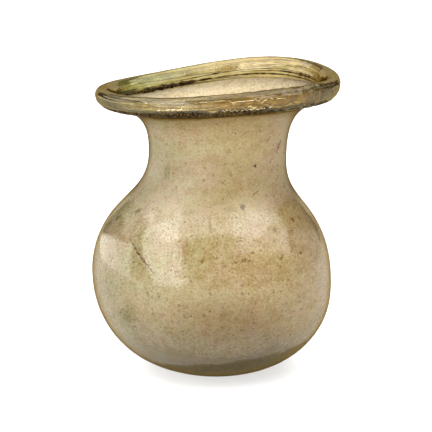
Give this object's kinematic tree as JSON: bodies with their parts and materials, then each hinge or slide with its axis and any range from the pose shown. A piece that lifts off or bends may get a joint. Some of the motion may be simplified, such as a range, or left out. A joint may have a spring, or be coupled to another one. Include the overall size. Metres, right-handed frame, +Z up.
{
  "type": "perfume flask",
  "caption": "Globular blown-glass flask with a wide neck and a flared mouth whose edge is folded inward into a thick, wavy lip, standing on a small pressed-in foot.",
  "frame": {"origin": "centre of the foot, on the surface the flask stands on", "axes": "+Z up through the mouth, the front of the flask faces -Y, +X towards the side where the lip stands highest"},
  "size_m": [0.0614, 0.0602, 0.075],
  "materials": {
    "glass": "weathered olive-amber glass under a thin beige film"
  },
  "bodies": {
    "root": {"flask": "glass"}
  },
  "joints": []
}
